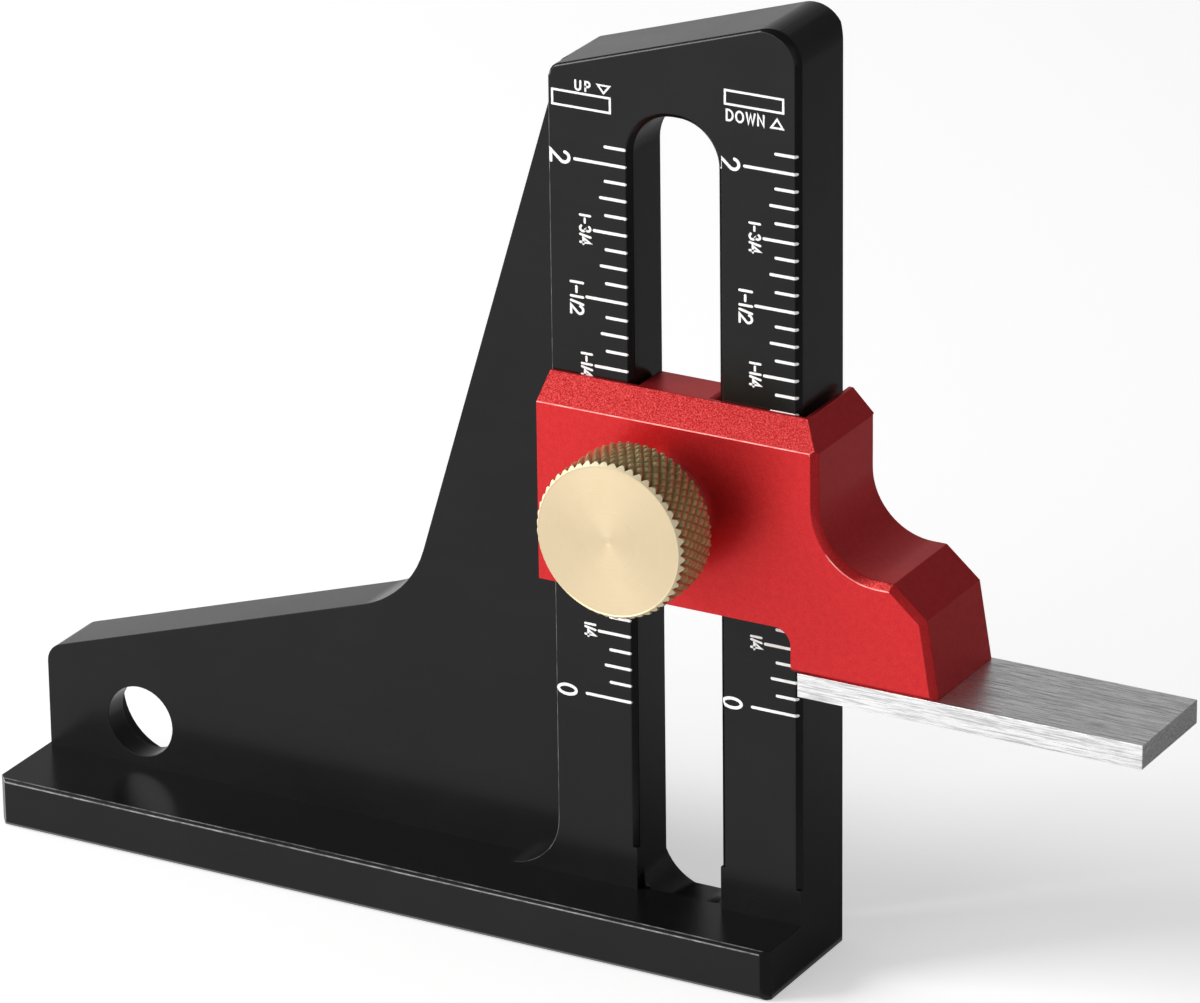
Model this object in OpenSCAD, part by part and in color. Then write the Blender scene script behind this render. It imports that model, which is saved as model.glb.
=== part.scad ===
// Height gauge for a saw table: black frame, red sliding carriage, flat stop bar and a clamp knob.
// Millimetres. +X towards the stop bar, +Y to the back, +Z up. The base stands on z = 0.

/* [Base] */
// Length of the base strip
base_l = 81.4; // [76:0.1:100]
// Depth of the base strip
base_d = 15; // [14.6:0.1:20]
// Height of the base strip
base_t = 4.85; // [4.4:0.05:5.6]
// Depth of the ledge in front of the column
ledge_d = 6.4; // [5:0.1:6.6]
// Small bevel on the long edges
edge_break = 0.45; // [0.2:0.05:0.8]
// Finer bevel on the base's front top edge
top_break = 0.3; // [0.2:0.05:0.6]
// Bevel on the front upright corners of the base
corner_break = 0.8; // [0.3:0.05:1.2]

/* [Column] */
// Width of the column
column_w = 24.7; // [23.6:0.1:27]
// Height of the column at its right face, before rounding
column_h = 89.9; // [88:0.1:100]
// How far the top falls towards the left
column_top_fall = 7.7; // [4:0.1:8]
// Radius of the top right corner
column_round_r = 3; // [1.5:0.1:4]
// Radius of the top left corner
column_left_round_r = 1.2; // [0.6:0.1:2]
// Bevel on the front right edge
column_break = 0.5; // [0.2:0.05:0.8]
// Height where the milled bevel begins
bevel_start_z = 8.3; // [7.5:0.1:12]

/* [Slot] */
// Width of the slot
slot_w = 8.5; // [7:0.1:9]
// Height of the slot's top end
slot_top_z = 79.2; // [77:0.1:81]
// Corner radius of the slot's top end
slot_r = 4; // [2:0.1:4.1]
// Corner radius of the slot's lower end
slot_foot_r = 3; // [2:0.1:4]
// Height of the slot's floor behind the lip
slot_floor_z = 3.95; // [3.8:0.05:4.4]
// Thickness of the square cornered lip at the front
slot_lip_d = 0.8; // [0.4:0.1:1.5]
// Depth of the narrow part of the slot
slot_narrow_d = 5.5; // [5:0.1:5.8]
// How far the back recess is wider than the slot, each side
recess_grow = 2.1; // [1.6:0.1:2.4]
// How far the back recess runs past the slot at its two ends
recess_end_grow = 1.95; // [1.5:0.05:2.2]

/* [Web] */
// How far the web's face stands behind the column's face
web_setback = 2.3; // [1.5:0.1:3]
// Gap from the base's end to the web's end
web_end_inset = 0.4; // [0.2:0.1:2]
// Height of the web's end before rounding
web_end_h = 14.95; // [13:0.05:18]
// Slope of the web's low top edge in degrees
web_low_angle = 17.8; // [8:0.1:20]
// Slope of the web's steep edge in degrees
web_steep_angle = 73.1; // [68:0.1:78]
// Radius where the two edges meet
web_inner_r = 10; // [5:0.5:14]
// Radius of the web's outer corner
web_corner_r = 2; // [1:0.1:3]
// Radius at the column's foot beside the web
foot_r = 5.3; // [3:0.1:6]
// Radius of the hanging hole
hang_r = 3.5; // [2.5:0.1:3.8]
// Length of the hanging hole's wall
hang_wall = 2.5; // [1.5:0.1:3.5]
// Radius of the recess behind the hanging hole
hang_recess_r = 5.8; // [4.5:0.1:6]
// Distance from the base's end to the hanging hole
hang_x = 10.5; // [9:0.1:14]
// Height of the hanging hole
hang_z = 9.3; // [9:0.1:10.2]

/* [Carriage] */
// Height of the stop bar's underside above the table
reach_z = 28.65; // [0.05:0.05:50]
// Height of the carriage's top edge above the stop bar's underside
pointer_h = 25.3; // [24:0.1:26]
// Height of the front plate
plate_h = 19.05; // [17:0.05:19.5]
// Thickness of the front plate
plate_t = 2.9; // [2.5:0.1:4]
// Gap between the front plate and the column
plate_gap = 0.05; // [0.02:0.01:0.1]
// Depth of the long bevel along the plate's top
brow_d = 2.6; // [1:0.1:2.6]
// Height of the long bevel along the plate's top
brow_h = 2.1; // [1:0.1:3]
// Depth of the tongue in the slot
tongue_d = 3.9; // [2:0.1:4.5]
// Height of the tongue
tongue_h = 17; // [14:0.1:17]
// Side gap of the tongue in the slot
tongue_gap = 0.05; // [0.02:0.01:0.1]
// Corner radius of the tongue
tongue_r = 1; // [0.5:0.1:1.5]
// Gap between the arm and the column's right face
arm_gap = 0.55; // [0.3:0.05:1]
// Depth of the arm behind the column's face
arm_back_d = 8.2; // [7:0.1:8.6]
// Width of the arm's upright part, from the column's face line
tower_w = 3.1; // [2.8:0.1:4.5]
// Bevel on the tower's top
tower_bevel = 2.1; // [1:0.1:2.1]
// Radius of the hollow beside the tower
hollow_r = 5.95; // [4:0.05:6]
// Height of the shoulder above the lobe's underside
shoulder_h = 10.1; // [9:0.1:11]
// Distance from the column's face line to the end of the flat shoulder
shoulder_x = 10.4; // [9.8:0.1:11]
// Height of the lobe's upper right corner above the lobe's underside
cheek_h = 7.3; // [5:0.1:8]
// Distance from the column's face line to the lobe's upper right corner
cheek_x = 13.65; // [12:0.05:14]
// Distance from the column's face line to the lobe's lower right corner
lobe_x = 14.85; // [14:0.05:17]
// Radius in the corner under the front plate
armpit_r = 1.6; // [0.8:0.1:2]

/* [Stop bar] */
// Length of the stop bar
bar_l = 33.4; // [30:0.1:60]
// Thickness of the stop bar
bar_t = 2.25; // [2:0.05:2.5]
// Distance from the column's face line to the bar's near end
bar_start_x = 1.2; // [0.7:0.1:2]
// How far the bar stays behind the slide's front face
bar_front_in = 0.05; // [0:0.05:0.3]
// Distance from the column's face line to the first screw
bar_screw_x = 4.6; // [4.2:0.1:5]
// Distance between the two screws
bar_screw_pitch = 6.2; // [5.6:0.1:6.4]
// Radius of the screws
bar_screw_r = 1.25; // [1:0.05:1.5]
// Head radius of the screws
bar_head_r = 2.3; // [2:0.05:2.5]
// Head height of the screws
bar_head_h = 1.2; // [1:0.05:1.4]
// Length of the screws with head
bar_screw_l = 7; // [5:0.5:8]
// Radius of the hex recess in the heads
bar_drive_r = 0.9; // [0.6:0.05:1]
// Depth of the hex recess in the heads
bar_drive_d = 0.8; // [0.4:0.1:1]

/* [Clamp] */
// Radius of the knob's head
knob_r = 7.4; // [6:0.1:9]
// Thickness of the knob's head
knob_t = 5.4; // [4:0.1:8]
// Bevel on the knob's face
knob_break = 0.45; // [0.2:0.05:0.8]
// How far the knob's axis is below the middle of the front plate
knob_drop = 0.15; // [0.05:0.05:0.5]
// Radius of the knob's collar
collar_r = 4.6; // [4:0.1:4.7]
// Length of the knob's collar
collar_l = 3.4; // [2:0.1:5]
// Radius of the washer
washer_r = 4.8; // [4.7:0.1:6]
// Thickness of the washer
washer_t = 0.6; // [0.5:0.1:1]
// Radius of the clamp screw
screw_r = 2; // [1.5:0.05:2.4]
// How deep the clamp screw sits in the knob
screw_seat = 6.5; // [4:0.1:7]
// Free radius round the clamp screw in the carriage
screw_gap = 0.2; // [0.1:0.05:0.3]
// Free radius between screw and nut thread
thread_gap = 0.03; // [0.02:0.01:0.08]
// Length of the clamp screw past the nut's face
screw_past = 0.4; // [0.1:0.1:0.5]
// Thickness of the clamp nut
nut_t = 2.3; // [2:0.1:2.3]
// Height of the clamp nut
nut_h = 11; // [8:0.5:14]
// Side gap of the nut in the recess
nut_gap = 0.3; // [0.2:0.05:0.5]
// Bevel on the nut's corners
nut_break = 1; // [0.5:0.1:2]

/* [Hidden] */
$fn = 64;
overlap = base_t / 20;
right_x = base_l / 2;
left_x = -base_l / 2;
column_left_x = right_x - column_w;
middle_x = right_x - column_w / 2;
front_y = -base_d / 2;
back_y = base_d / 2;
face_y = front_y + ledge_d;
web_y = face_y + web_setback;
narrow_y = face_y + slot_narrow_d;
column_left_h = column_h - column_top_fall;
web_left_x = left_x + web_end_inset;
web_low_run = cos(web_low_angle);
web_low_rise = sin(web_low_angle);
web_steep_run = cos(web_steep_angle);
web_steep_rise = sin(web_steep_angle);
low_gain = web_low_rise / web_low_run;
steep_gain = web_steep_rise / web_steep_run;
web_joint_x = (column_left_h - web_end_h - steep_gain * column_left_x + low_gain * web_left_x) / (low_gain - steep_gain);
web_joint_z = web_end_h + low_gain * (web_joint_x - web_left_x);
pointer_z = reach_z + pointer_h;
plate_bottom_z = pointer_z - plate_h;
lobe_z = reach_z + bar_t;
plate_front_y = face_y - plate_gap - plate_t;
plate_back_y = face_y - plate_gap;
arm_back_y = face_y + arm_back_d;
arm_x = right_x + arm_gap;
tower_x = right_x + tower_w;
knob_z = pointer_z - plate_h / 2 - knob_drop;
tongue_w = slot_w - 2 * tongue_gap;
bar_front_y = plate_front_y + bar_front_in;
bar_mid_y = (bar_front_y + arm_back_y) / 2;
washer_front_y = plate_front_y - washer_t;
collar_front_y = washer_front_y - collar_l;
knob_front_y = collar_front_y - knob_t;
recess_w = slot_w + 2 * recess_grow;
recess_r = slot_r + recess_grow / 2;

function unit(v) = v / norm(v);
function bend(a, b) = acos(unit(a) * unit(b));
function reach(a, b, r) = r / tan(bend(a, b) / 2);
function inside(p, a, b, r) = p + unit(unit(a) + unit(b)) * r / sin(bend(a, b) / 2);

// Flat shape drawn in X and Z, given depth from one Y to another
module slab(y_from, y_to) {
  translate([0, y_to, 0])
    rotate([90, 0, 0])
      linear_extrude(height = y_to - y_from)
        children();
}

// The small area between a corner and its rounding arc
module corner_area(p, a, b, r) {
  c = inside(p, a, b, r);
  t = reach(a, b, r);
  difference() {
    polygon([p - unit(unit(a) + unit(b)) * overlap, p + unit(a) * t, c, p + unit(b) * t]);
    translate(c) circle(r = r);
  }
}

// Upright slot shape with round corners
module slot_shape(w, z_low, z_high, r_low, r) {
  translate([-w / 2, z_low + r_low]) square([w, z_high - z_low - r_low - r]);
  translate([-w / 2 + r_low, z_low]) square([w - 2 * r_low, 2 * r_low]);
  translate([-w / 2 + r, z_high - 2 * r]) square([w - 2 * r, 2 * r]);
  for (side = [-1, 1]) {
    translate([side * (w / 2 - r_low), z_low + r_low]) circle(r = r_low);
    translate([side * (w / 2 - r), z_high - r]) circle(r = r);
  }
}

// Block that bevels an edge along X. The turn points it outwards from the edge.
module bevel_x(x_from, x_to, y, z, leg, turn) {
  translate([x_from, y, z])
    rotate([turn, 0, 0])
      translate([0, -leg / sqrt(2), -2 * leg])
        cube([x_to - x_from, 3 * leg, 4 * leg]);
}

// The same along Z
module bevel_z(z_from, z_to, x, y, leg, turn) {
  translate([x, y, z_from])
    rotate([0, 0, turn])
      translate([-leg / sqrt(2), -2 * leg, 0])
        cube([3 * leg, 4 * leg, z_to - z_from]);
}

// The same along Y
module bevel_y(y_from, y_to, x, z, leg, turn) {
  translate([x, y_from, z])
    rotate([0, turn, 0])
      translate([-leg / sqrt(2), 0, -2 * leg])
        cube([3 * leg, y_to - y_from, 4 * leg]);
}

module column_outline() {
  top_right = [right_x, column_h];
  top_left = [column_left_x, column_left_h];
  difference() {
    polygon([[column_left_x, 0], [right_x, 0], top_right, top_left]);
    corner_area(top_right, [0, -column_h], top_left - top_right, column_round_r);
    corner_area(top_left, [0, -column_h], top_right - top_left, column_left_round_r);
  }
}

module web_outline() {
  top_end = [web_left_x, web_end_h];
  joint = [web_joint_x, web_joint_z];
  top = [column_left_x, column_left_h];
  inner_x = column_left_x + column_w / 4;
  inner = [inner_x, column_left_h + column_top_fall / 4];
  difference() {
    union() {
      polygon([[web_left_x, 0], [inner_x, 0], inner, top, joint, top_end]);
      corner_area(joint, top - joint, top_end - joint, web_inner_r);
    }
    corner_area(top_end, [0, -web_end_h], joint - top_end, web_corner_r);
    corner_area(top, joint - top, inner - top, column_left_round_r);
  }
}

module foot_outline() {
  corner_area([column_left_x, base_t], [-column_w, 0], [0, column_h], foot_r);
}

module frame_solid() {
  translate([left_x, front_y, 0]) cube([base_l, base_d, base_t]);
  slab(face_y, back_y) column_outline();
  slab(web_y, back_y) web_outline();
  slab(face_y, web_y + overlap) foot_outline();
}

// Everything cut out of the column
module slot_cuts() {
  translate([middle_x, 0, 0]) {
    slab(face_y - overlap, face_y + slot_lip_d + overlap) {
      slot_shape(slot_w, base_t, slot_top_z, slot_foot_r, slot_r);
      translate([-slot_w / 2, base_t]) square([slot_w, 2 * slot_r]);
    }
    slab(face_y + slot_lip_d, narrow_y + overlap)
      slot_shape(slot_w, slot_floor_z, slot_top_z, slot_foot_r, slot_r);
    slab(narrow_y, back_y + overlap)
      slot_shape(recess_w, slot_floor_z - recess_end_grow, slot_top_z + recess_end_grow, recess_r, recess_r);
  }
}

module frame() {
  color([0.05, 0.05, 0.055])
    difference() {
      frame_solid();
      slot_cuts();
      bevel_x(left_x - overlap, right_x + overlap, front_y, base_t, top_break, 135);
      bevel_x(left_x - overlap, right_x + overlap, front_y, 0, edge_break, 225);
      bevel_x(left_x - overlap, right_x + overlap, back_y, 0, edge_break, 315);
      bevel_y(front_y - overlap, back_y + overlap, left_x, 0, edge_break, 135);
      bevel_z(-overlap, base_t + overlap, left_x, front_y, corner_break, 225);
      bevel_z(-overlap, base_t + overlap, right_x, front_y, corner_break, 315);
      bevel_z(-overlap, column_h, right_x, back_y, edge_break, 45);
      bevel_z(bevel_start_z, column_h, right_x, face_y, column_break, 315);
      translate([left_x + hang_x, web_y + hang_wall, hang_z])
        rotate([90, 0, 0])
          cylinder(r = hang_r, h = hang_wall + overlap);
      translate([left_x + hang_x, back_y + overlap, hang_z])
        rotate([90, 0, 0])
          cylinder(r = hang_recess_r, h = back_y + overlap - web_y - hang_wall);
    }
}

// Outline of the carriage seen from the front
module carriage_outline() {
  hollow_x = tower_x + hollow_r;
  shoulder_z = lobe_z + shoulder_h;
  armpit = [arm_x, plate_bottom_z];
  difference() {
    union() {
      polygon([
        [column_left_x, plate_bottom_z],
        armpit,
        [arm_x, lobe_z],
        [right_x + lobe_x, lobe_z],
        [right_x + cheek_x, lobe_z + cheek_h],
        [right_x + shoulder_x, shoulder_z],
        [hollow_x, shoulder_z],
        [tower_x, shoulder_z + hollow_r],
        [tower_x, pointer_z - tower_bevel],
        [tower_x - tower_bevel, pointer_z],
        [column_left_x, pointer_z]
      ]);
      corner_area(armpit, [-plate_h, 0], [0, -plate_h], armpit_r);
      polygon([[tower_x - overlap, shoulder_z - overlap], [hollow_x, shoulder_z - overlap], [hollow_x, shoulder_z], [tower_x, shoulder_z + hollow_r], [tower_x - overlap, shoulder_z + hollow_r]]);
    }
    translate([hollow_x, shoulder_z + hollow_r]) circle(r = hollow_r);
  }
}

// The part of the outline that is right of the column
module arm_outline() {
  intersection() {
    carriage_outline();
    translate([arm_x, lobe_z]) square([lobe_x + lobe_x, pointer_z]);
  }
}

module slide() {
  color([0.72, 0.05, 0.05])
    difference() {
      union() {
        slab(plate_front_y, plate_back_y) carriage_outline();
        slab(plate_back_y - overlap, arm_back_y) arm_outline();
        slab(plate_back_y - overlap, face_y + tongue_d)
          translate([middle_x, 0])
            slot_shape(tongue_w, pointer_z - tongue_h, pointer_z, tongue_r, tongue_r);
      }
      // long bevel along the top of the plate
      translate([column_left_x - overlap, plate_front_y, pointer_z])
        rotate([90, 0, 90])
          linear_extrude(height = column_w + tower_w + 2 * overlap)
            polygon([[-plate_t, -brow_h], [0, -brow_h], [brow_d, 0], [brow_d, plate_t], [-plate_t, plate_t]]);
      // clamp screw hole
      translate([middle_x, face_y + tongue_d + overlap, knob_z])
        rotate([90, 0, 0])
          cylinder(r = screw_r + screw_gap, h = tongue_d + plate_t + plate_gap + 2 * overlap);
      for (step = [0, 1])
        translate([right_x + bar_screw_x + step * bar_screw_pitch, bar_mid_y, lobe_z - overlap])
          cylinder(r = bar_screw_r, h = bar_screw_l - bar_t + overlap + screw_gap);
    }
}

module stop_bar() {
  color([0.8, 0.8, 0.8])
    difference() {
      translate([right_x + bar_start_x, bar_front_y, reach_z])
        cube([bar_l, arm_back_y - bar_front_y, bar_t]);
      for (step = [0, 1])
        translate([right_x + bar_screw_x + step * bar_screw_pitch, bar_mid_y, reach_z]) {
          translate([0, 0, -overlap]) cylinder(r = bar_screw_r + thread_gap, h = bar_t + 2 * overlap);
          translate([0, 0, -overlap]) cylinder(r = bar_head_r, h = overlap + bar_head_h / 4);
          translate([0, 0, bar_head_h / 4]) cylinder(r1 = bar_head_r, r2 = bar_screw_r, h = bar_head_h * 3 / 4);
        }
    }
}

module bar_screws() {
  color([0.6, 0.6, 0.62])
    for (step = [0, 1])
      translate([right_x + bar_screw_x + step * bar_screw_pitch, bar_mid_y, reach_z])
        difference() {
          union() {
            cylinder(r = bar_head_r, h = bar_head_h / 4);
            translate([0, 0, bar_head_h / 4]) cylinder(r1 = bar_head_r, r2 = bar_screw_r, h = bar_head_h * 3 / 4);
            cylinder(r = bar_screw_r, h = bar_screw_l);
          }
          translate([0, 0, -overlap]) cylinder(r = bar_drive_r, h = overlap + bar_drive_d, $fn = 6);
        }
}

module clamp_knob() {
  color([0.8, 0.68, 0.42])
    translate([middle_x, 0, knob_z])
      rotate([90, 0, 0])
        difference() {
          union() {
            translate([0, 0, -washer_front_y]) cylinder(r = collar_r, h = collar_l + overlap);
            translate([0, 0, -collar_front_y]) cylinder(r1 = knob_r - knob_break, r2 = knob_r, h = knob_break);
            translate([0, 0, -collar_front_y + knob_break]) cylinder(r = knob_r, h = knob_t - 2 * knob_break);
            translate([0, 0, -knob_front_y - knob_break]) cylinder(r1 = knob_r, r2 = knob_r - knob_break, h = knob_break);
          }
          translate([0, 0, -washer_front_y - overlap]) cylinder(r = screw_r, h = screw_seat + overlap);
        }
}

module clamp_screw() {
  color([0.6, 0.6, 0.62])
    translate([middle_x, narrow_y + nut_t + screw_past, knob_z])
      rotate([90, 0, 0])
        cylinder(r = screw_r, h = narrow_y + nut_t + screw_past - washer_front_y + screw_seat);
}

module clamp_washer() {
  color([0.75, 0.75, 0.76])
    translate([middle_x, plate_front_y, knob_z])
      rotate([90, 0, 0])
        difference() {
          cylinder(r = washer_r, h = washer_t);
          translate([0, 0, -overlap]) cylinder(r = screw_r + thread_gap, h = washer_t + 2 * overlap);
        }
}

module clamp_nut() {
  half_w = recess_w / 2 - nut_gap;
  half_h = nut_h / 2;
  color([0.5, 0.5, 0.52])
    translate([middle_x, 0, knob_z])
      difference() {
        slab(narrow_y, narrow_y + nut_t)
          polygon([
            [-half_w + nut_break, -half_h], [half_w - nut_break, -half_h],
            [half_w, -half_h + nut_break], [half_w, half_h - nut_break],
            [half_w - nut_break, half_h], [-half_w + nut_break, half_h],
            [-half_w, half_h - nut_break], [-half_w, -half_h + nut_break]
          ]);
        translate([0, narrow_y + nut_t + overlap, 0])
          rotate([90, 0, 0])
            cylinder(r = screw_r + thread_gap, h = nut_t + 2 * overlap);
      }
}

frame();
slide();
stop_bar();
bar_screws();
clamp_knob();
clamp_screw();
clamp_washer();
clamp_nut();
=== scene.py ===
import math

import bmesh
import bpy
from mathutils import Matrix, Vector


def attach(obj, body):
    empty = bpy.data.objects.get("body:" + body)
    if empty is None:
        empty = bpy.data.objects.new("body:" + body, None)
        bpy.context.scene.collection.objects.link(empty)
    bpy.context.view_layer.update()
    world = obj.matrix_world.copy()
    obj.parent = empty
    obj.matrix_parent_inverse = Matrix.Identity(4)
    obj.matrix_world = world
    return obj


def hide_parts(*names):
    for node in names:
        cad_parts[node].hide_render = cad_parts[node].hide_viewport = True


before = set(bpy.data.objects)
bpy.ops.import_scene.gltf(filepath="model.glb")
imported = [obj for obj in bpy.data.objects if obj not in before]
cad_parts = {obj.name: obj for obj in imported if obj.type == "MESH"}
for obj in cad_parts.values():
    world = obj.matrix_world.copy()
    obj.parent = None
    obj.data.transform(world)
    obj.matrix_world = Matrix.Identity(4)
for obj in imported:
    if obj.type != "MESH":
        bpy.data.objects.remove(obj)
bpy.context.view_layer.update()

# Sizes are in mm unless their comment says metres
MM = 0.001

# The camera that took the photo: its place in metres and its turns in radians
CAMERA_PLACE = (0.325316, -0.543609, 0.298725)
CAMERA_YAW = 0.51164
CAMERA_PITCH = -0.39121
CAMERA_ROLL = -0.01228
CAMERA_LENS = 227.891
CAMERA_SENSOR = 36

# The column's front face, its outline and the slot that splits the two scales
FACE_Y = -1.1
COLUMN_RIGHT = 40.7
COLUMN_LEFT = 16.0
COLUMN_RIGHT_TOP = 89.9
COLUMN_LEFT_TOP = 82.2
RIGHT_ROUND = 3.0
LEFT_ROUND = 1.2
SLOT_LEFT = 24.1
SLOT_RIGHT = 32.6
SLOT_TOP = 79.2
SLOT_R = 4.0
BEVEL_START_Z = 9.0
CORNER_BREAK = 0.5
TOP_BREAK = 0.2
TOP_STEPS = 16
TOP_GROW_STEPS = 6
CORNER_STEPS = 18

# The base strip's top and front
BASE_T = 4.85
BASE_FRONT = -7.5

# The two printed scales: a mark each sixteenth of an inch
SIXTEENTH = 25.4 / 16
MARK_COUNT = 34
DOWN_ZERO_Z = 25.30
UP_ZERO_Z = 23.20
DOWN_MARKS_RIGHT = 40.482
UP_MARKS_RIGHT = 23.70
MARK_WIDTH = 0.28
INK_PROUD = 0.014
INK_SUNK = 0.006

# How long the zero mark is, then the other marks, by the largest step that divides their number
ZERO_MARK = 4.717
MARK_LENGTHS = ((16, 5.267), (8, 4.222), (4, 3.399), (2, 2.735), (1, 2.236))

# The words over the scales: where each starts, its height and spacing, its arrow and its window's sides
UP_SIGN = {"word": "UP", "x": 18.74, "z": 80.43, "height": 0.84, "space": 0.49,
           "arrow": ((20.95, 81.2), (22.13, 81.2), (21.54, 80.5)), "window": (16.42, 22.15, 78.78, 80.12)}
DOWN_SIGN = {"word": "DOWN", "x": 33.64, "z": 80.03, "height": 0.95, "space": 0.32,
             "arrow": ((37.96, 80.05), (39.1, 80.05), (38.54, 80.86)), "window": (33.47, 39.13, 81.5, 82.74)}
WORD_PEN = 0.19
ARROW_PEN = 0.18
WINDOW_PEN = 0.21

# A pen stroke's round tip, the limit that keeps the mitre of a sharp turn short, and how near two
# points of ink count as one
TIP_STEPS = 6
MITRE_SHARE = 0.45
INK_WELD = 0.0001

# Each size of number: its foot's x from the marks' right ends, its height, the pen's width, the space
# between signs, how narrow the signs are, and how far it sits below its mark
NUMBERS = {0: "0", 4: "1/4", 8: "1/2", 12: "3/4", 16: "1", 20: "1-1/4", 24: "1-1/2", 28: "1-3/4", 32: "2"}
BIG = (-7.50, 1.82, 0.30, 0.4, 0.9, 0.0)
MIDDLE = (-5.67, 1.21, 0.24, 0.42, 1.0, 0.25)
SMALL = (-4.66, 1.02, 0.22, 0.3, 0.86, 0.09)
SLASH_SPACE_SHARE = 0.4

# The carriage's front face and its right outline
CARRIAGE_FRONT = -4.05
CARRIAGE_BACK = 7.1
CARRIAGE_TOP = 53.95
BROW_H = 2.1
BROW_RUN = 0.6
TOWER_RIGHT = 43.8
HOLLOW_R = 5.95
SHOULDER_X = 51.1
SHOULDER_Z = 41.0
CHEEK_X = 54.35
CHEEK_Z = 38.2
LOBE_X = 55.599
LOBE_Z = 30.9
LOBE_RUN = 0.3
CARRIAGE_BREAK = 0.6
SEAM_BREAK = 0.32
SEAM_LEFT = 36.0
SEAM_RIGHT = 58.0

# How wide the sharp edges are broken, and the angles that part flat, smooth and sharp
EDGE_WIDTH = 0.07
BAR_EDGE_WIDTH = 0.06
FLAT_ANGLE = math.radians(0.3)
SHARP_ANGLE = math.radians(28)
SMOOTH_ANGLE = math.radians(35)

# How near two points of a solid, or of a piece that was cut, count as one
SOLID_WELD = 0.0005
CUT_WELD = 0.01

# How far a bevel's cutter reaches past the bevel, as a share of its leg
CUTTER_PAST_SHARE = 0.6

# Where broken edges take the lighter edge colour, the colour thinned at the cut with painted highlight: how
# near its edge a face lies, and how far it is turned
NEAR = 0.3
TURNED = 0.3
BASE_EDGE_DROP = 0.3
BASE_EDGE_REACH = 0.7
BASE_EDGE_DEEP = 0.8
BASE_EDGE_END = 39.3
WEB_CORNER_REACH = 1.0
BROW_REACH = 0.4
BROW_TURNED = 0.5
HOLLOW_LIT_EDGE_X = 44.8
HOLLOW_BELOW = 1.2
HOLLOW_ABOVE = 2.6
HOLLOW_TURNED = 0.8

# The knurled knob, on its axis
KNOB_X = 28.35
KNOB_Z = 44.275
KNOB_BACK = -8.05
KNOB_FRONT = -13.45
KNOB_R = 7.4
KNOB_BREAK = 0.42
KNOB_BREAK_DEEP = 0.56
KNOB_BREAK_STEPS = 6
KNOB_RIM_STEPS = 36
KNOB_FACE_STEPS = ((6.93, 0.0), (6.86, 0.02), (3.0, 0.025), (0.5, 0.03), (0.18, 0.05))
COLLAR_R = 4.6
COLLAR_L = 3.4
COLLAR_BREAK = 0.25
COLLAR_STEPS = 96

# The knurl: its teeth, how deep they are, by how much and how soon they get shallower where the
# grooves slant, how far along the knob a groove slants by one tooth, how wide the crests are, and how
# much they are worn
KNURL_TEETH = 52
KNURL_TOOTH_STEPS = 10
KNURL_DEPTH = 0.32
KNURL_EASE = 0.08
KNURL_EASE_RATE = 3
KNURL_SLANT = 1.45
CREST_WIDTH = 1.3
FIRST_CREST_WIDTH = 1.4
WORN_SHARE = 0.3

# The studio, in metres: the floor, and the dark card's parts on the floor, upright and behind the web
FLOOR_HALF = 3.0
FLOOR_DROP = 0.00005
FLOOR_GLOW = 0.45
FLOOR_GLOW_MIRRORED = 0.32
CARD_LOW = ((-0.02, 0.6), (-0.02, 0.0095), (0.0409, 0.0095), (0.0409, -0.0078), (0.1, -0.07), (0.3, -0.26),
            (0.3, 0.6))
CARD_LOW_Z = 0.0002
CARD_UPRIGHT = ((-0.03, 0.0003), (0.6, 0.0003), (0.6, 0.4), (-0.03, 0.4))
CARD_UPRIGHT_X = 0.084
CARD_BEHIND = ((-0.005, 0.0003), (0.0235, 0.0003), (0.0235, 0.02), (-0.005, 0.02))
CARD_BEHIND_Y = 0.012
LAMP_TARGET = (0.0, 0.0, 0.04)


# The camera

def add_camera():
    """A camera at the photo's own view."""
    level = math.cos(CAMERA_PITCH)
    ahead = Vector((-math.sin(CAMERA_YAW) * level, math.cos(CAMERA_YAW) * level, math.sin(CAMERA_PITCH)))
    right = ahead.cross(Vector((0, 0, 1))).normalized()
    up = right.cross(ahead)
    right_rolled = math.cos(CAMERA_ROLL) * right + math.sin(CAMERA_ROLL) * up
    up_rolled = -math.sin(CAMERA_ROLL) * right + math.cos(CAMERA_ROLL) * up
    turn = Matrix((right_rolled, up_rolled, -ahead)).transposed().to_4x4()
    data = bpy.data.cameras.new("photo_camera")
    data.sensor_fit = "HORIZONTAL"
    data.sensor_width = CAMERA_SENSOR
    data.lens = CAMERA_LENS
    data.clip_start = 0.05
    data.clip_end = 20
    camera = bpy.data.objects.new("photo_camera", data)
    camera.matrix_world = Matrix.Translation(Vector(CAMERA_PLACE)) @ turn
    bpy.context.scene.collection.objects.link(camera)
    bpy.context.scene.camera = camera


add_camera()


# Helpers for nodes

def put(tree, kind, values=None, **settings):
    """Add a node, with its settings and the values of its inputs."""
    node = tree.nodes.new(kind)
    for name, value in settings.items():
        setattr(node, name, value)
    for name, value in (values or {}).items():
        if isinstance(value, bpy.types.NodeSocket):
            tree.links.new(value, node.inputs[name])
        else:
            node.inputs[name].default_value = value
    return node


def math_node(tree, operation, a, b=0.5, clamp=False):
    return put(tree, "ShaderNodeMath", {0: a, 1: b}, operation=operation, use_clamp=clamp).outputs[0]


def mix_colour(tree, share, low, high):
    return put(tree, "ShaderNodeMix", {0: share, 6: low, 7: high}, data_type="RGBA").outputs[2]


def ramp(tree, value, low, high, to_low=0.0, to_high=1.0):
    return put(tree, "ShaderNodeMapRange", {"Value": value, "From Min": low, "From Max": high,
                                            "To Min": to_low, "To Max": to_high}).outputs[0]


def blend(tree, first, second, share):
    """A mix of two values, with this share of the first."""
    return math_node(tree, "ADD", math_node(tree, "MULTIPLY", first, share),
                     math_node(tree, "MULTIPLY", second, 1 - share))


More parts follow.
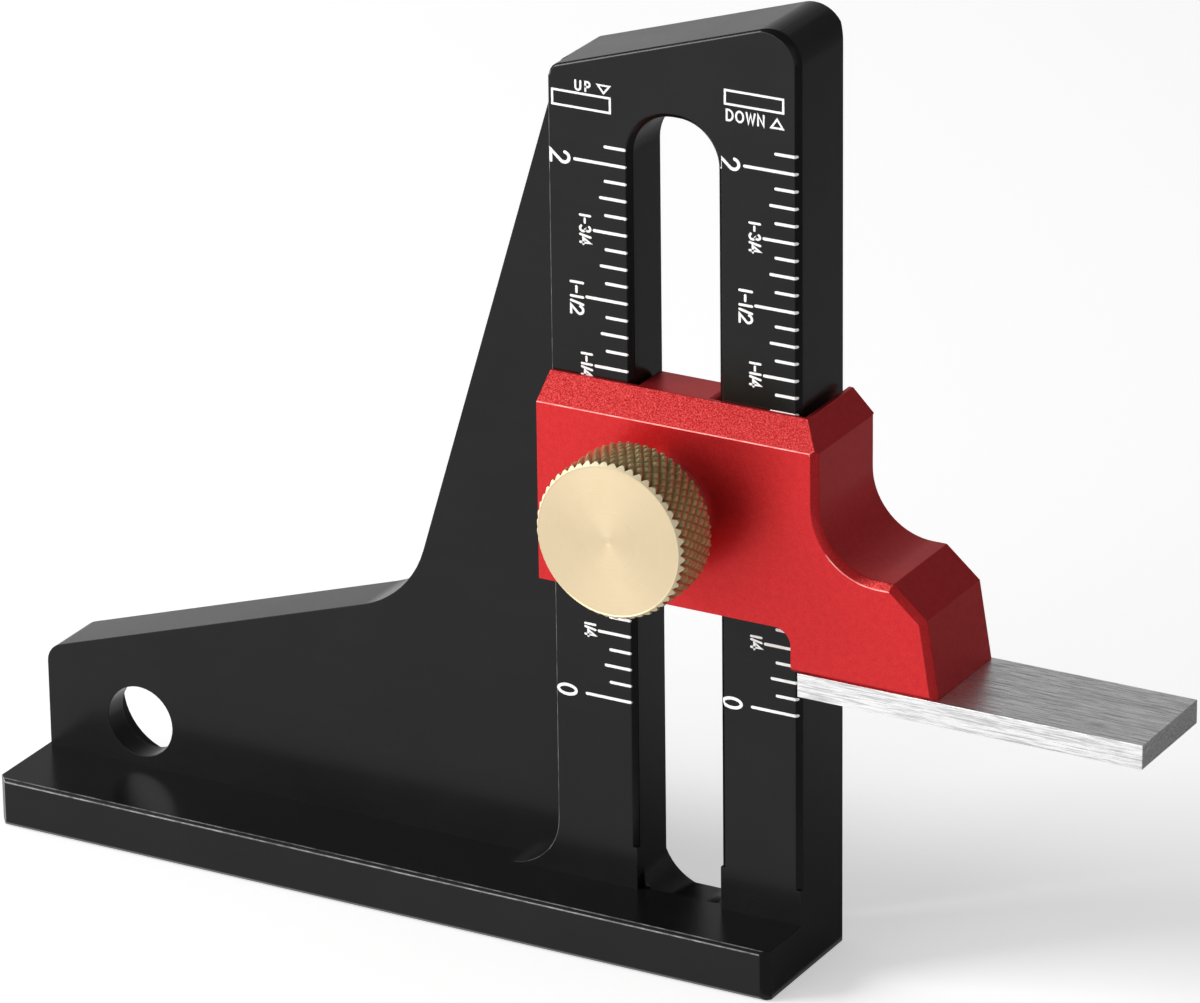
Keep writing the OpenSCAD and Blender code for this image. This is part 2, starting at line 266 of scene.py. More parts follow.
def new_group(name, takes, gives):
    """A node group with named inputs, each with its first value, and named outputs."""
    group = bpy.data.node_groups.new(name, "ShaderNodeTree")
    for label, kind, start in takes:
        socket = group.interface.new_socket(name=label, in_out="INPUT", socket_type=kind)
        if start is not None:
            socket.default_value = start
    for label, kind in gives:
        group.interface.new_socket(name=label, in_out="OUTPUT", socket_type=kind)
    return group, group.nodes.new("NodeGroupInput"), group.nodes.new("NodeGroupOutput")


def use_group(tree, group, values):
    return put(tree, "ShaderNodeGroup", values, node_tree=group)


def empty_tree(owner):
    """The node tree of a material or of the world, with nothing in it."""
    owner.use_nodes = True
    owner.node_tree.nodes.clear()
    return owner.node_tree


# Surface effects that the materials share

def make_blasted_grain():
    """The pitted skin of blasted and anodised aluminium: pits, soft mottle and rare specks."""
    group, start, end = new_group(
        "blasted_grain",
        [("Place", "NodeSocketVector", None), ("Pit Density", "NodeSocketFloat", 9000.0),
         ("Mottle Density", "NodeSocketFloat", 180.0)],
        [("Pits", "NodeSocketFloat"), ("Mottle", "NodeSocketFloat"), ("Specks", "NodeSocketFloat")])
    place = start.outputs["Place"]
    pits = put(group, "ShaderNodeTexNoise", {"Vector": place, "Scale": start.outputs["Pit Density"],
                                             "Detail": 2.0, "Roughness": 0.65})
    mottle = put(group, "ShaderNodeTexNoise", {"Vector": place, "Scale": start.outputs["Mottle Density"],
                                               "Detail": 4.0, "Roughness": 0.6})
    cells = put(group, "ShaderNodeTexVoronoi", {"Vector": place, "Scale": 1500.0, "Randomness": 1.0})
    specks = ramp(group, cells.outputs["Distance"], 0.0, 0.12, 1.0, 0.0)
    rare = put(group, "ShaderNodeTexNoise", {"Vector": place, "Scale": 700.0, "Detail": 1.0})
    specks = math_node(group, "MULTIPLY", specks, ramp(group, rare.outputs[0], 0.62, 0.7))
    group.links.new(pits.outputs[0], end.inputs["Pits"])
    group.links.new(mottle.outputs[0], end.inputs["Mottle"])
    group.links.new(specks, end.inputs["Specks"])
    return group


def make_tool_lines():
    """Fine lines that a brush or cutter leaves, long in the direction of the smallest stretch."""
    group, start, end = new_group(
        "tool_lines",
        [("Place", "NodeSocketVector", None), ("Stretch", "NodeSocketVector", (1.0, 1.0, 1.0))],
        [("Lines", "NodeSocketFloat"), ("Broad Lines", "NodeSocketFloat")])
    scaled = put(group, "ShaderNodeVectorMath", {0: start.outputs["Place"], 1: start.outputs["Stretch"]},
                 operation="MULTIPLY")
    fine = put(group, "ShaderNodeTexNoise", {"Vector": scaled.outputs[0], "Scale": 1.0, "Detail": 3.0,
                                             "Roughness": 0.7})
    broad = put(group, "ShaderNodeTexNoise", {"Vector": scaled.outputs[0], "Scale": 0.22, "Detail": 2.0})
    group.links.new(fine.outputs[0], end.inputs["Lines"])
    group.links.new(broad.outputs[0], end.inputs["Broad Lines"])
    return group


def make_turned_rings():
    """Rings that a lathe tool leaves on a face that is square to +Y, about a centre."""
    group, start, end = new_group(
        "turned_rings",
        [("Place", "NodeSocketVector", None), ("Centre", "NodeSocketVector", (0.0, 0.0, 0.0)),
         ("Ring Density", "NodeSocketFloat", 9000.0)],
        [("Rings", "NodeSocketFloat"), ("Radius", "NodeSocketFloat")])
    away = put(group, "ShaderNodeVectorMath", {0: start.outputs["Place"], 1: start.outputs["Centre"]},
               operation="SUBTRACT")
    flat = put(group, "ShaderNodeVectorMath", {0: away.outputs[0], 1: (1.0, 0.0, 1.0)}, operation="MULTIPLY")
    radius = put(group, "ShaderNodeVectorMath", {0: flat.outputs[0]}, operation="LENGTH").outputs["Value"]
    along = put(group, "ShaderNodeCombineXYZ", {"X": radius})
    density = start.outputs["Ring Density"]
    rings = put(group, "ShaderNodeTexNoise", {"Vector": along.outputs[0], "Scale": density, "Detail": 2.0,
                                              "Roughness": 0.6})
    group.links.new(rings.outputs[0], end.inputs["Rings"])
    group.links.new(radius, end.inputs["Radius"])
    return group


BLASTED = make_blasted_grain()
TOOL_LINES = make_tool_lines()
RINGS = make_turned_rings()


# Materials

def new_material(name):
    material = bpy.data.materials.new(name)
    tree = empty_tree(material)
    shader = tree.nodes.new("ShaderNodeBsdfPrincipled")
    put(tree, "ShaderNodeOutputMaterial", {0: shader.outputs[0]})
    place = tree.nodes.new("ShaderNodeTexCoord").outputs["Object"]
    return material, tree, shader, place


def set_surface(tree, shader, colour, metallic, rough, height, strength, distance):
    """Give a shader its colour, metal share and roughness, and bumps whose distance is in metres."""
    tree.links.new(colour, shader.inputs["Base Color"])
    shader.inputs["Metallic"].default_value = metallic
    tree.links.new(rough, shader.inputs["Roughness"])
    bump = put(tree, "ShaderNodeBump", {"Height": height, "Strength": strength, "Distance": distance})
    tree.links.new(bump.outputs[0], shader.inputs["Normal"])


def make_black_anodised():
    """The frame's near black skin, with soft mottle, faint cutter lines and rare specks."""
    material, tree, shader, place = new_material("black_anodised")
    grain = use_group(tree, BLASTED, {"Place": place, "Pit Density": 7000.0, "Mottle Density": 90.0})
    lines = use_group(tree, TOOL_LINES, {"Place": place, "Stretch": (180.0, 2500.0, 5200.0)})
    share = blend(tree, grain.outputs["Mottle"], lines.outputs["Broad Lines"], 0.7)
    colour = mix_colour(tree, ramp(tree, share, 0.3, 0.7), (0.0035, 0.0035, 0.0037, 1),
                        (0.0065, 0.0065, 0.0068, 1))
    colour = mix_colour(tree, math_node(tree, "MULTIPLY", grain.outputs["Specks"], 0.5), colour,
                        (0.03, 0.03, 0.03, 1))
    rough = math_node(tree, "ADD", ramp(tree, grain.outputs["Mottle"], 0.3, 0.7, 0.2, 0.26),
                      ramp(tree, lines.outputs["Lines"], 0.3, 0.7, -0.02, 0.02))
    height = blend(tree, grain.outputs["Pits"], lines.outputs["Lines"], 0.7)
    set_surface(tree, shader, colour, 0.0, rough, height, 0.22, 0.00002)
    shader.inputs["IOR"].default_value = 1.34
    return material


def make_red_anodised():
    """The carriage's red skin: coarse and blasted on the sloping brow, with painted glints on its pits,
    milled smoother elsewhere.
    """
    material, tree, shader, place = new_material("red_anodised")
    grain = use_group(tree, BLASTED, {"Place": place, "Pit Density": 6200.0, "Mottle Density": 1500.0})
    # this is well below nought only where a face looks forward and up at once, as the brow does
    way = put(tree, "ShaderNodeSeparateXYZ", {0: tree.nodes.new("ShaderNodeTexCoord").outputs["Normal"]})
    brow = math_node(tree, "ADD", math_node(tree, "MULTIPLY", way.outputs["Y"], way.outputs["Z"]),
                     math_node(tree, "ABSOLUTE", way.outputs["X"]))
    coarse = ramp(tree, brow, -0.2, -0.4, 0.12, 0.78)
    colour = mix_colour(tree, ramp(tree, grain.outputs["Mottle"], 0.3, 0.7), (0.62, 0.018, 0.022, 1),
                        (0.69, 0.025, 0.029, 1))
    # pits on the brow are painted a brighter red: painted glints on its coarse grain
    bright = math_node(tree, "MULTIPLY", ramp(tree, grain.outputs["Pits"], 0.4, 0.66), coarse)
    colour = mix_colour(tree, bright, colour, (1.0, 0.13, 0.12, 1))
    rough = math_node(tree, "ADD", ramp(tree, grain.outputs["Pits"], 0.3, 0.7, 0.27, 0.39),
                      math_node(tree, "MULTIPLY", coarse, 0.2))
    height = math_node(tree, "MULTIPLY", grain.outputs["Pits"], coarse)
    set_surface(tree, shader, colour, 0.75, rough, height, 0.9, 0.00005)
    return material


def make_grained_tone(name, low, high, metallic):
    """A grained material between two colours: for the thinned colour along a machined part's broken edges,
    with painted highlight; for the knob's chamfer, with painted highlight; and for its collar, with painted
    shade.
    """
    material, tree, shader, place = new_material(name)
    grain = use_group(tree, BLASTED, {"Place": place, "Pit Density": 5000.0, "Mottle Density": 700.0})
    colour = mix_colour(tree, ramp(tree, grain.outputs["Mottle"], 0.35, 0.65), low, high)
    rough = ramp(tree, grain.outputs["Pits"], 0.3, 0.7, 0.32, 0.5)
    set_surface(tree, shader, colour, metallic, rough, grain.outputs["Pits"], 0.3, 0.00002)
    return material


def make_brushed_steel():
    """The stop bar's stainless steel, brushed along X."""
    material, tree, shader, place = new_material("brushed_steel")
    lines = use_group(tree, TOOL_LINES, {"Place": place, "Stretch": (380.0, 8600.0, 8600.0)})
    long_lines = use_group(tree, TOOL_LINES, {"Place": place, "Stretch": (110.0, 5200.0, 5200.0)})
    grain = use_group(tree, BLASTED, {"Place": place, "Pit Density": 5000.0, "Mottle Density": 300.0})
    share = blend(tree, lines.outputs["Lines"], long_lines.outputs["Lines"], 0.6)
    colour = mix_colour(tree, ramp(tree, share, 0.42, 0.54), (0.56, 0.56, 0.565, 1), (0.99, 0.99, 0.995, 1))
    colour = mix_colour(tree, math_node(tree, "MULTIPLY", grain.outputs["Specks"], 0.4), colour,
                        (0.35, 0.35, 0.35, 1))
    rough = ramp(tree, share, 0.4, 0.6, 0.42, 0.24)
    set_surface(tree, shader, colour, 1.0, rough, share, 0.8, 0.00005)
    return material


def make_screw_steel(name, low, high):
    """Plain bright steel, turned or pressed."""
    material, tree, shader, place = new_material(name)
    lines = use_group(tree, TOOL_LINES, {"Place": place, "Stretch": (5000.0, 900.0, 5000.0)})
    grain = use_group(tree, BLASTED, {"Place": place, "Pit Density": 6000.0, "Mottle Density": 400.0})
    colour = mix_colour(tree, ramp(tree, grain.outputs["Mottle"], 0.3, 0.7), low, high)
    rough = ramp(tree, lines.outputs["Lines"], 0.3, 0.7, 0.3, 0.42)
    set_surface(tree, shader, colour, 1.0, rough, lines.outputs["Lines"], 0.3, 0.00002)
    return material


def make_turned_brass():
    """The knob's front face, with the rings of a lathe tool."""
    material, tree, shader, place = new_material("turned_brass")
    rings = use_group(tree, RINGS, {"Place": place, "Centre": (KNOB_X * MM, 0.0, KNOB_Z * MM),
                                    "Ring Density": 11000.0})
    grain = use_group(tree, BLASTED, {"Place": place, "Pit Density": 5000.0, "Mottle Density": 300.0})
    colour = mix_colour(tree, ramp(tree, rings.outputs["Rings"], 0.3, 0.7), (0.79, 0.64, 0.41, 1),
                        (0.84, 0.69, 0.46, 1))
    colour = mix_colour(tree, ramp(tree, grain.outputs["Mottle"], 0.5, 0.8, 0.0, 0.25), colour,
                        (0.70, 0.54, 0.31, 1))
    rough = ramp(tree, rings.outputs["Rings"], 0.3, 0.7, 0.26, 0.38)
    set_surface(tree, shader, colour, 1.0, rough, rings.outputs["Rings"], 0.12, 0.00002)
    shader.inputs["Anisotropic"].default_value = 0.45
    shader.inputs["Anisotropic Rotation"].default_value = 0.25
    round_axis = put(tree, "ShaderNodeTangent", direction_type="RADIAL", axis="Y")
    tree.links.new(round_axis.outputs[0], shader.inputs["Tangent"])
    return material


def make_knurled_brass():
    """The knob's rim, with painted highlight on the crests and painted shade in the grooves."""
    material, tree, shader, place = new_material("knurled_brass")
    rings = use_group(tree, RINGS, {"Place": place, "Centre": (KNOB_X * MM, 0.0, KNOB_Z * MM),
                                    "Ring Density": 9000.0})
    grain = use_group(tree, BLASTED, {"Place": place, "Pit Density": 3000.0, "Mottle Density": 900.0})
    # the grooves are painted darker and the crests paler than the brass: painted shade and painted highlight
    crest = ramp(tree, rings.outputs["Radius"], (KNOB_R - KNURL_DEPTH) * MM, KNOB_R * MM)
    colour = mix_colour(tree, crest, (0.28, 0.20, 0.07, 1), (0.92, 0.74, 0.38, 1))
    colour = mix_colour(tree, ramp(tree, grain.outputs["Mottle"], 0.4, 0.8, 0.0, 0.5), colour,
                        (0.52, 0.42, 0.18, 1))
    rough = ramp(tree, grain.outputs["Pits"], 0.3, 0.7, 0.32, 0.48)
    set_surface(tree, shader, colour, 1.0, rough, grain.outputs["Pits"], 0.8, 0.00006)
    return material


def make_white_ink():
    """The matt white ink of the scales."""
    material, tree, shader, place = new_material("white_ink")
    grain = use_group(tree, BLASTED, {"Place": place, "Pit Density": 9000.0, "Mottle Density": 1200.0})
    colour = mix_colour(tree, ramp(tree, grain.outputs["Mottle"], 0.35, 0.65), (0.90, 0.90, 0.89, 1),
                        (0.98, 0.98, 0.97, 1))
    rough = ramp(tree, grain.outputs["Pits"], 0.3, 0.7, 0.55, 0.7)
    set_surface(tree, shader, colour, 0.0, rough, grain.outputs["Pits"], 0.3, 0.00002)
    return material


BLACK = make_black_anodised()
RED = make_red_anodised()
STEEL = make_brushed_steel()
SCREW = make_screw_steel("screw_steel", (0.36, 0.36, 0.38, 1), (0.52, 0.52, 0.54, 1))
WASHER = make_screw_steel("washer_steel", (0.48, 0.48, 0.50, 1), (0.64, 0.64, 0.66, 1))
BRASS = make_turned_brass()
KNURLED = make_knurled_brass()
INK = make_white_ink()
# lighter colours for broken edges: the colour thinned at the cut, with painted highlight
BLACK_EDGE_AND_HIGHLIGHT = make_grained_tone("black_edge_and_highlight", (0.045, 0.045, 0.046, 1), (0.25, 0.25, 0.255, 1), 0.2)
RED_EDGE_AND_HIGHLIGHT = make_grained_tone("red_edge_and_highlight", (0.86, 0.16, 0.15, 1), (0.97, 0.36, 0.33, 1), 0.5)
# the knob's turned chamfer, paler and less metallic than the turned face: painted highlight where the lamps
# leave it in shade
BRASS_CHAMFER_HIGHLIGHT = make_grained_tone("brass_chamfer_highlight", (0.95, 0.79, 0.50, 1), (1.0, 0.89, 0.62, 1), 0.35)
# the collar's brass, much darker than the knob's: painted shade from the knob's head
COLLAR_SHADED_BRASS = make_grained_tone("brass_collar_painted_shade", (0.34, 0.25, 0.11, 1), (0.42, 0.32, 0.15, 1), 0.3)


def dress(node, material):
    """Give a solid that is already the right shape its finish."""
    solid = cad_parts[node]
    if not solid.material_slots:
        solid.data.materials.append(material)
    for slot in solid.material_slots:
        slot.material = material


# Helpers for shapes

def new_piece(name, mesh, *materials):
    """Make an object from a mesh under construction, with its materials."""
    data = bpy.data.meshes.new(name)
    mesh.to_mesh(data)
    mesh.free()
    for material in materials:
        data.materials.append(material)
    piece = bpy.data.objects.new(name, data)
    bpy.context.scene.collection.objects.link(piece)
    return piece


def join_rings(mesh, a, b):
    """Lay a band of faces between two closed rings of as many points."""
    count = len(a)
    return [mesh.faces.new((a[i], a[(i + 1) % count], b[(i + 1) % count], b[i])) for i in range(count)]


def arc(cx, cy, rx, ry, start, stop, count=12):
    """Points on an ellipse, from one angle to another in degrees."""
    points = []
    for i in range(count + 1):
        a = math.radians(start + (stop - start) * i / count)
        points.append((cx + rx * math.cos(a), cy + ry * math.sin(a)))
    return points


def bake(piece):
    """Turn a piece's modifiers into its mesh."""
    graph = bpy.context.evaluated_depsgraph_get()
    data = bpy.data.meshes.new_from_object(piece.evaluated_get(graph))
    piece.modifiers.clear()
    piece.data = data


# Machined pieces, from their solids

def cut_edge(piece, path, y, legs, inward):
    """Cut a bevel along an edge.

    The path is in x and z, with the metal on its right, and has a leg for each point.
    """
    past = CUTTER_PAST_SHARE
    corners = ((-past, 1 + past), (1 + past, -past), (-past, -past))
    mesh = bmesh.new()
    rings = []
    for i, (here, leg) in enumerate(zip(path, legs)):
        ways = []
        if i > 0:
            ways.append(Vector((here[0] - path[i - 1][0], here[1] - path[i - 1][1])).normalized())
        if i < len(path) - 1:
            ways.append(Vector((path[i + 1][0] - here[0], path[i + 1][1] - here[1])).normalized())
        into = sum((Vector((w.y, -w.x)) for w in ways), Vector((0, 0))).normalized()
        grow = 1 / into.dot(Vector((ways[0].y, -ways[0].x)))
        rings.append([mesh.verts.new(Vector((here[0] + into.x * across * leg * grow, y + inward * deep * leg,
                                             here[1] + into.y * across * leg * grow)) * MM)
                      for across, deep in corners])
    for a, b in zip(rings, rings[1:]):
        join_rings(mesh, a, b)
    mesh.faces.new(rings[0])
    mesh.faces.new(rings[-1])
    bmesh.ops.recalc_face_normals(mesh, faces=mesh.faces[:])
    cutter = new_piece("edge_cutter", mesh)
    cut = piece.modifiers.new("edge", "BOOLEAN")
    cut.object = cutter
    cut.solver = "EXACT"
    bake(piece)
    bpy.data.objects.remove(cutter)


def machined_copy(node, name, body, material):
    """A copy of a solid's mesh, joined up, with its flat faces whole, ready to be finished."""
    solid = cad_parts[node]
    mesh = bmesh.new()
    mesh.from_mesh(solid.data)
    mesh.transform(solid.matrix_world)
    bmesh.ops.remove_doubles(mesh, verts=mesh.verts[:], dist=SOLID_WELD * MM)
    bmesh.ops.dissolve_limit(mesh, angle_limit=FLAT_ANGLE, verts=mesh.verts[:], edges=mesh.edges[:])
    piece = new_piece(name, mesh, material)
    marks = piece.data.attributes
    if "custom_normal" in marks:
        marks.remove(marks["custom_normal"])
    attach(piece, body)
    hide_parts(node)
    return piece


def finish_edges(piece, width, bare_edge_and_highlight=None, is_bare_and_lit=None, is_left=None):
    """Break the sharp edges a little and shade the round faces smoothly.

    A broken edge takes the lighter edge material where is_bare_and_lit says so, its colour thinned at the cut
    with painted highlight, and is_left names the corners left as they are. Both take a place in mm, and
    is_bare_and_lit takes the way the face looks as well.
    """
    mesh = bmesh.new()
    mesh.from_mesh(piece.data)
    bmesh.ops.remove_doubles(mesh, verts=mesh.verts[:], dist=CUT_WELD * MM)
    bmesh.ops.dissolve_limit(mesh, angle_limit=FLAT_ANGLE, verts=mesh.verts[:], edges=mesh.edges[:])
    share = mesh.edges.layers.float.new("bevel_weight_edge")
    for edge in mesh.edges:
        sharp = edge.is_manifold and edge.is_convex and edge.calc_face_angle() > SHARP_ANGLE
        left = is_left is not None and is_left((edge.verts[0].co + edge.verts[1].co) / 2 / MM)
        edge[share] = 1.0 if sharp and not left else 0.0
    mesh.to_mesh(piece.data)
    mesh.free()
    soft = piece.modifiers.new("break", "BEVEL")
    if bare_edge_and_highlight is not None:
        piece.data.materials.append(bare_edge_and_highlight)
        soft.material = 1
    soft.width = width * MM
    soft.segments = 2
    soft.limit_method = "WEIGHT"
    soft.use_clamp_overlap = False
    bake(piece)
    data = piece.data
    for face in data.polygons:
        if face.material_index == 1 and not is_bare_and_lit(face.center / MM, face.normal):
            face.material_index = 0
    data.polygons.foreach_set("use_smooth", [True] * len(data.polygons))
    data.set_sharp_from_angle(angle=SMOOTH_ANGLE)
    # the big flat faces stay flat, and only the broken edges turn the light
    even = piece.modifiers.new("even", "WEIGHTED_NORMAL")
    even.mode = "FACE_AREA"
    even.keep_sharp = True
    bake(piece)


def bare_and_lit_on_column(place, way):
    """The base's front top edge, and the column's left edge, which take the lighter edge colour: thinned
    colour with painted highlight.
    """
    level = abs(place.z - BASE_T + BASE_EDGE_DROP) < BASE_EDGE_REACH
    front = place.y < BASE_FRONT + BASE_EDGE_DEEP and place.x < BASE_EDGE_END
    left = place.x < COLUMN_LEFT + NEAR and place.y < FACE_Y + NEAR
    return (level and front and abs(way.x) < TURNED) or (left and way.x < -TURNED and way.y < -TURNED)


def awkward_on_column(place):
    """The small round corner where the web meets the column's top."""
    beside = COLUMN_LEFT - WEB_CORNER_REACH < place.x < COLUMN_LEFT + LEFT_ROUND
    return beside and place.z > COLUMN_LEFT_TOP - LEFT_ROUND and place.y > 0.0


def bare_and_lit_on_carriage(place, way):
    """The brow's lower edge, and the inner edge of the bevel round the hollow, which take the lighter edge
    colour: thinned colour with painted highlight.
    """
    front = place.y < CARRIAGE_FRONT + NEAR
    brow = abs(place.z - CARRIAGE_TOP + BROW_H) < BROW_REACH and abs(way.x) < TURNED and way.y < -BROW_TURNED
    beside = HOLLOW_LIT_EDGE_X < place.x < SHOULDER_X
    level = SHOULDER_Z - HOLLOW_BELOW < place.z < SHOULDER_Z + HOLLOW_ABOVE
    return front and (brow or (beside and level and way.y < -HOLLOW_TURNED))


def slot_outline():
    """The slot's front outline: up its right side, over its top and down its left side."""
    z = SLOT_TOP - SLOT_R
    return ([(SLOT_RIGHT, BEVEL_START_Z)]
            + arc(SLOT_RIGHT - SLOT_R, z, SLOT_R, SLOT_R, 0, 90, CORNER_STEPS)
            + arc(SLOT_LEFT + SLOT_R, z, SLOT_R, SLOT_R, 90, 180, CORNER_STEPS)
            + [(SLOT_LEFT, BEVEL_START_Z)])


def top_outline():
    """The front outline of the column's sloping top, whose bevel widens round the right corner."""
    slope = math.atan2(COLUMN_RIGHT_TOP - COLUMN_LEFT_TOP, COLUMN_RIGHT - COLUMN_LEFT)
    lean = 90 + math.degrees(slope)
    corners = ((COLUMN_LEFT + LEFT_ROUND, LEFT_ROUND, 180, lean, 0.0),
               (COLUMN_RIGHT - RIGHT_ROUND, RIGHT_ROUND, lean, 0, CORNER_BREAK - TOP_BREAK))
    path = []
    legs = []
    for x, r, first, last, growth in corners:
        z = COLUMN_RIGHT_TOP - (COLUMN_RIGHT - x) * math.tan(slope) - r / math.cos(slope)
        path += arc(x, z, r, r, first, last, TOP_STEPS)
        legs += [TOP_BREAK + growth * min(1.0, k / TOP_GROW_STEPS) for k in range(TOP_STEPS + 1)]
    return path, legs


def build_column():
    piece = machined_copy("frame", "column_and_base", "frame", BLACK)
    path = slot_outline()
    cut_edge(piece, path, FACE_Y, [CORNER_BREAK] * len(path), 1)
    path, legs = top_outline()
    cut_edge(piece, path, FACE_Y, legs, 1)
    finish_edges(piece, EDGE_WIDTH, BLACK_EDGE_AND_HIGHLIGHT, bare_and_lit_on_column, awkward_on_column)


def carriage_path(rise):
    """The right outline of the carriage, from its tower's top down to the bar."""
    return ([(TOWER_RIGHT, CARRIAGE_TOP - BROW_H + rise)]
            + arc(TOWER_RIGHT + HOLLOW_R, SHOULDER_Z + HOLLOW_R, HOLLOW_R, HOLLOW_R, 180, 270, CORNER_STEPS)
            + [(SHOULDER_X, SHOULDER_Z), (CHEEK_X, CHEEK_Z), (LOBE_X, LOBE_Z - LOBE_RUN)])


def build_carriage():
    piece = machined_copy("slide", "carriage_body", "carriage", RED)
    # a bevel that looks down makes the narrow dark seam between the carriage and its bar
    seam = [(SEAM_RIGHT, LOBE_Z), (SEAM_LEFT, LOBE_Z)]
    cut_edge(piece, seam, CARRIAGE_FRONT, [SEAM_BREAK] * len(seam), 1)
    path = carriage_path(BROW_RUN)
    cut_edge(piece, path, CARRIAGE_FRONT, [CARRIAGE_BREAK] * len(path), 1)
    cut_edge(piece, carriage_path(0.0), CARRIAGE_BACK, [CARRIAGE_BREAK / 2] * len(path), -1)
    finish_edges(piece, EDGE_WIDTH, RED_EDGE_AND_HIGHLIGHT, bare_and_lit_on_carriage)


def build_bar():
    piece = machined_copy("stop_bar", "brushed_bar", "carriage", STEEL)
    finish_edges(piece, BAR_EDGE_WIDTH)


build_column()
build_carriage()
build_bar()


# Marks on the column

def face_depth(x):
    """How far behind the flat face the surface lies at x, on the column's broken corners."""
    middle = (SLOT_LEFT + SLOT_RIGHT) / 2
    if x > COLUMN_RIGHT - CORNER_BREAK:
        return x - (COLUMN_RIGHT - CORNER_BREAK)
    if SLOT_LEFT - CORNER_BREAK < x < middle:
        return x - (SLOT_LEFT - CORNER_BREAK)
    if middle <= x < SLOT_RIGHT + CORNER_BREAK:
        return SLOT_RIGHT + CORNER_BREAK - x
    return 0.0


# Each sign as strokes of the pen, 1 high; its width comes first, then strokes, closed ones marked
SIGNS = {
    "0": (0.55, [(arc(0.275, 0.5, 0.275, 0.5, 90, 450, 28)[:-1], True)]),
    "1": (0.0, [([(0.0, 0.0), (0.0, 1.0)], False)]),
    "2": (0.62, [(arc(0.31, 0.72, 0.29, 0.28, 170, -30, 12) + [(0.0, 0.0), (0.62, 0.0)], False)]),
    "3": (0.60, [(arc(0.29, 0.76, 0.25, 0.24, 150, -75, 9)
                  + arc(0.29, 0.27, 0.31, 0.27, 80, -145, 10), False)]),
    "4": (0.66, [([(0.48, 0.0), (0.48, 1.0), (0.0, 0.3), (0.66, 0.3)], False)]),
    "/": (0.22, [([(0.0, 0.0), (0.22, 1.0)], False)]),
    "-": (0.42, [([(0.0, 0.46), (0.42, 0.46)], False)]),
    "U": (0.60, [([(0.0, 1.0)] + arc(0.3, 0.3, 0.3, 0.3, 180, 360, 10) + [(0.6, 1.0)], False)]),
    "P": (0.52, [([(0.0, 0.0), (0.0, 1.0)] + arc(0.27, 0.73, 0.25, 0.27, 90, -90, 9)
                  + [(0.0, 0.46)], False)]),
    "D": (0.62, [([(0.0, 0.0), (0.0, 1.0)] + arc(0.2, 0.5, 0.42, 0.5, 90, -90, 12), True)]),
    "O": (0.74, [(arc(0.37, 0.5, 0.37, 0.5, 90, 450, 24)[:-1], True)]),
    "W": (0.84, [([(0.0, 1.0), (0.2, 0.0), (0.42, 0.9), (0.64, 0.0), (0.84, 1.0)], False)]),
    "N": (0.58, [([(0.0, 0.0), (0.0, 1.0), (0.58, 0.0), (0.58, 1.0)], False)]),
}


def stroke_faces(mesh, points, width, closed):
    """Lay one stroke of even width along the points, flat, with round ends."""
    count = len(points)
    half = width / 2
    left, right = [], []
    for i, here in enumerate(points):
        before = points[i - 1] if (i > 0 or closed) else None
        after = points[(i + 1) % count] if (i < count - 1 or closed) else None
        ways = []
        if before is not None:
            ways.append(Vector((here[0] - before[0], here[1] - before[1])).normalized())
        if after is not None:
            ways.append(Vector((after[0] - here[0], after[1] - here[1])).normalized())
        side = sum((Vector((-w.y, w.x)) for w in ways), Vector((0, 0))).normalized()
        grow = half / max(MITRE_SHARE, side.dot(Vector((-ways[0].y, ways[0].x))))
        left.append(mesh.verts.new((here[0] + side.x * grow, here[1] + side.y * grow, 0)))
        right.append(mesh.verts.new((here[0] - side.x * grow, here[1] - side.y * grow, 0)))
    for i in range(count if closed else count - 1):
        j = (i + 1) % count
        mesh.faces.new((left[i], right[i], right[j], left[j]))
    if closed:
        return
    for tip, a, b in ((0, left[0], right[0]), (count - 1, right[-1], left[-1])):
        middle = Vector(points[tip])
        from_a = math.atan2(a.co.y - middle.y, a.co.x - middle.x)
        rim = [a]
        for step in range(1, TIP_STEPS):
            turn = from_a + math.pi * step / TIP_STEPS
            rim.append(mesh.verts.new((middle.x + half * math.cos(turn),
                                       middle.y + half * math.sin(turn), 0)))
        rim.append(b)
        mesh.faces.new(rim)


def add_marks(name, strokes):
    """Build ink from strokes given in the column face's own x and z, in mm, and bend it over the corners."""
    mesh = bmesh.new()
    for points, width, closed in strokes:
        stroke_faces(mesh, points, width, closed)
    for x in (COLUMN_RIGHT - CORNER_BREAK, SLOT_LEFT - CORNER_BREAK, SLOT_RIGHT + CORNER_BREAK):
        everything = mesh.verts[:] + mesh.edges[:] + mesh.faces[:]
        bmesh.ops.bisect_plane(mesh, geom=everything, plane_co=(x, 0, 0), plane_no=(1, 0, 0), dist=INK_WELD)
    for vertex in mesh.verts:
        x, z = vertex.co.x, vertex.co.y
        vertex.co = Vector((x, FACE_Y + face_depth(x) - INK_PROUD, z)) * MM
    front = mesh.faces[:]
    bmesh.ops.recalc_face_normals(mesh, faces=front)
    for face in front:
        if face.normal.y > 0:
            face.normal_flip()
    grown = bmesh.ops.extrude_face_region(mesh, geom=front, use_keep_orig=True)
    back = [item for item in grown["geom"] if isinstance(item, bmesh.types.BMVert)]
    for vertex in back:
        vertex.co.y += (INK_PROUD + INK_SUNK) * MM
    bmesh.ops.recalc_face_normals(mesh, faces=mesh.faces[:])
    piece = new_piece(name, mesh, INK)
    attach(piece, "frame")


def mark_length(k):
    """How long the mark of k sixteenths is."""
    if k == 0:
        return ZERO_MARK
    return next(length for step, length in MARK_LENGTHS if k % step == 0)


